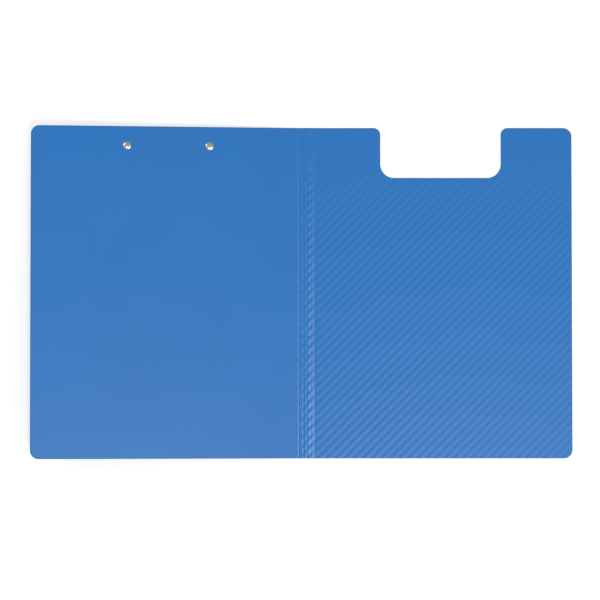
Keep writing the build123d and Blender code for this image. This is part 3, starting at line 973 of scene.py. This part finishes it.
# Springs: round wire wound on the pin, from a leg on the base to a leg under the jaw
def leg_angle(rise, turn):
    """Angle round the pin where a straight leg that ends at a height touches the coil."""
    away = math.hypot(LEG_REACH, rise - PIN_Z)
    return math.atan2(rise - PIN_Z, LEG_REACH) + turn * math.acos(COIL_R / away)


def wire_points(side):
    """Centre line of one spring in the clip's frame: a straight leg, the coil and the other leg."""
    foot = BASE_T + WIRE_R + LEG_GAP
    low = leg_angle(foot, -1)
    high = leg_angle(JAW_TOP_Z - JAW_T - WIRE_R - LEG_GAP, 1)
    wind = (COIL_TURNS + 1) * 2 * math.pi + low - high
    advance = COIL_PITCH / (2 * math.pi)
    leg = math.sqrt(LEG_REACH**2 + (foot - PIN_Z) ** 2 - COIL_R**2)
    steps = math.ceil(wind / (2 * math.pi) * COIL_STEPS)
    coil = []
    ways = []
    for count in range(steps + 1):
        turned = wind * count / steps
        rise, run = COIL_R * math.sin(low - turned), COIL_R * math.cos(low - turned)
        coil.append(Vector((side * (COIL_X + advance * turned), PIN_Y - run, PIN_Z + rise)))
        ways.append(Vector((side * advance, -rise, -run)).normalized())
    return [coil[0] - ways[0] * leg, *coil, coil[-1] + ways[-1] * leg]


def wire_spring(side, name, node):
    """One torsion spring, drawn at rest; on the real clip its coil winds up as the jaw turns."""
    line = bpy.data.curves.new(name, "CURVE")
    line.dimensions = "3D"
    line.bevel_depth = WIRE_R
    line.bevel_resolution = 4
    line.use_fill_caps = True
    spline = line.splines.new("POLY")
    points = wire_points(side)
    spline.points.add(len(points) - 1)
    for point, place in zip(spline.points, points):
        point.co = (*place, 1)
    piece = bpy.data.objects.new(name, line)
    bpy.context.scene.collection.objects.link(piece)
    select_only(piece)
    bpy.ops.object.convert(target="MESH")
    piece = bpy.context.active_object
    finish_piece(piece, name, clip_frame, spring_steel, smooth_degrees=60)
    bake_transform(piece)
    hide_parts(node)


wire_spring(1, "coil_spring_fold_side", "spring_left")
wire_spring(-1, "coil_spring_free_side", "spring_right")


# Stamped and moulded pieces: the solid's form with its sharp edges broken
def soften_form(node, name, edge, material, body):
    """A merged copy of a solid with rounded sharp edges."""
    piece = frame["nodes"][node].copy()
    piece.data = frame["nodes"][node].data.copy()
    bpy.context.scene.collection.objects.link(piece)
    piece.parent = None
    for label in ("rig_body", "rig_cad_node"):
        del piece[label]
    start_edit(piece)
    bpy.ops.mesh.select_all(action="SELECT")
    bpy.ops.mesh.remove_doubles(threshold=SOLID_MERGE_GAP)
    bpy.ops.mesh.dissolve_limited(angle_limit=FLAT_ANGLE)
    end_edit()
    modifier(piece, "BEVEL", width=edge, segments=2, limit_method="ANGLE", angle_limit=SHARP_ANGLE)
    finish_piece(piece, name, Matrix.Identity(4), material)
    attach(piece, body)
    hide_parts(node)


soften_form("clip_jaw", "jaw_plate", STEEL_EDGE, chrome, "jaw")
soften_form("clip_base", "base_plate", STEEL_EDGE, zinc, "board")
soften_form("grip_tip_left", "grip_cap_fold_side", CAP_EDGE, tip_black, "jaw")
soften_form("grip_tip_right", "grip_cap_free_side", CAP_EDGE, tip_black, "jaw")


# Stage: white floor that keeps the shadow, even world light and three soft lamps
def seen_as_white(tree):
    """A mask of the rays that see the floor as plain white: camera, glossy and transmission rays."""
    path = tree.nodes.new("ShaderNodeLightPath")
    seen = maths(tree, "MAXIMUM", (path, "Is Camera Ray"), (path, "Is Glossy Ray"))
    return maths(tree, "MAXIMUM", seen, (path, "Is Transmission Ray"))


def white_floor():
    """A wide floor that looks white, keeps the object's shadow and is clear from below."""
    bpy.ops.object.select_all(action="DESELECT")
    bpy.ops.mesh.primitive_plane_add(size=FLOOR_SIZE, location=(0, 0, -FLOOR_GAP))
    made = bpy.context.active_object
    made.name = "floor"
    material = bpy.data.materials.new("floor")
    material.use_nodes = True
    tree = material.node_tree
    tree.nodes.clear()
    leave = tree.nodes.new("ShaderNodeOutputMaterial")
    paper = add_node(tree, "ShaderNodeBsdfDiffuse", {"Color": (FLOOR_WHITE, FLOOR_WHITE, FLOOR_WHITE, 1.0)})
    lift = add_node(tree, "ShaderNodeEmission", {"Color": (1.0, 1.0, 1.0, 1.0)})
    coordinates = tree.nodes.new("ShaderNodeTexCoord")
    away = add_node(tree, "ShaderNodeVectorMath", operation="LENGTH")
    join(tree, (coordinates, "Object"), away, 0)
    level = ramp(
        tree,
        (away, "Value"),
        low=FLOOR_LIFT_NEAR,
        high=FLOOR_LIFT_FAR,
        bottom=FLOOR_LIFT,
        top=2 * FLOOR_LIFT,
        way="SMOOTHSTEP",
    )
    join(tree, maths(tree, "MULTIPLY", seen_as_white(tree), level), lift, "Strength")
    both = tree.nodes.new("ShaderNodeAddShader")
    join(tree, (paper, "BSDF"), both, 0)
    join(tree, (lift, "Emission"), both, 1)
    clear = tree.nodes.new("ShaderNodeBsdfTransparent")
    facts = tree.nodes.new("ShaderNodeNewGeometry")
    from_below = tree.nodes.new("ShaderNodeMixShader")
    join(tree, (facts, "Backfacing"), from_below, 0)
    join(tree, (both, "Shader"), from_below, 1)
    join(tree, (clear, "BSDF"), from_below, 2)
    join(tree, (from_below, "Shader"), leave, "Surface")
    made.data.materials.append(material)


def world_light():
    """Even white light from all round, white to the camera."""
    world = bpy.data.worlds.new("studio")
    bpy.context.scene.world = world
    world.use_nodes = True
    tree = world.node_tree
    tree.nodes.clear()
    leave = tree.nodes.new("ShaderNodeOutputWorld")
    back = add_node(tree, "ShaderNodeBackground", {"Color": (1.0, 1.0, 1.0, 1.0)})
    path = tree.nodes.new("ShaderNodeLightPath")
    strength = maths(tree, "MULTIPLY", (path, "Is Camera Ray"), 1.0 - WORLD_LEVEL)
    join(tree, maths(tree, "ADD", strength, WORLD_LEVEL), back, "Strength")
    join(tree, (back, "Background"), leave, "Surface")


def soft_lamp(name, place, size, power):
    """A square soft lamp that faces the middle of the folder."""
    data = bpy.data.lights.new(name, "AREA")
    data.shape = "SQUARE"
    data.size = size
    data.energy = power
    lamp = bpy.data.objects.new(name, data)
    bpy.context.scene.collection.objects.link(lamp)
    lamp.location = place
    lamp.rotation_mode = "QUATERNION"
    lamp.rotation_quaternion = (-Vector(place)).to_track_quat("-Z", "Y")


white_floor()
world_light()
soft_lamp("lamp_left", place=(-1.5, 1.0, 1.7), size=1.0, power=15.0)
soft_lamp("lamp_right", place=(1.6, -0.9, 1.8), size=1.2, power=22.0)
soft_lamp("lamp_above", place=(0.34, -0.74, 3.0), size=0.4, power=14.0)


# Camera: almost straight above, a little towards the lower edge
camera_data = bpy.data.cameras.new("camera")
camera_data.lens = CAMERA_LENS
camera_data.sensor_width = CAMERA_SENSOR
camera_data.clip_end = CAMERA_REACH
camera = bpy.data.objects.new("camera", camera_data)
bpy.context.scene.collection.objects.link(camera)
camera_way = Vector((0, -math.sin(CAMERA_PITCH), math.cos(CAMERA_PITCH)))
camera.location = CAMERA_AIM + CAMERA_FAR * camera_way
camera.rotation_euler = (CAMERA_PITCH, 0, 0)
bpy.context.scene.camera = camera
bpy.context.scene.view_settings.view_transform = "Standard"
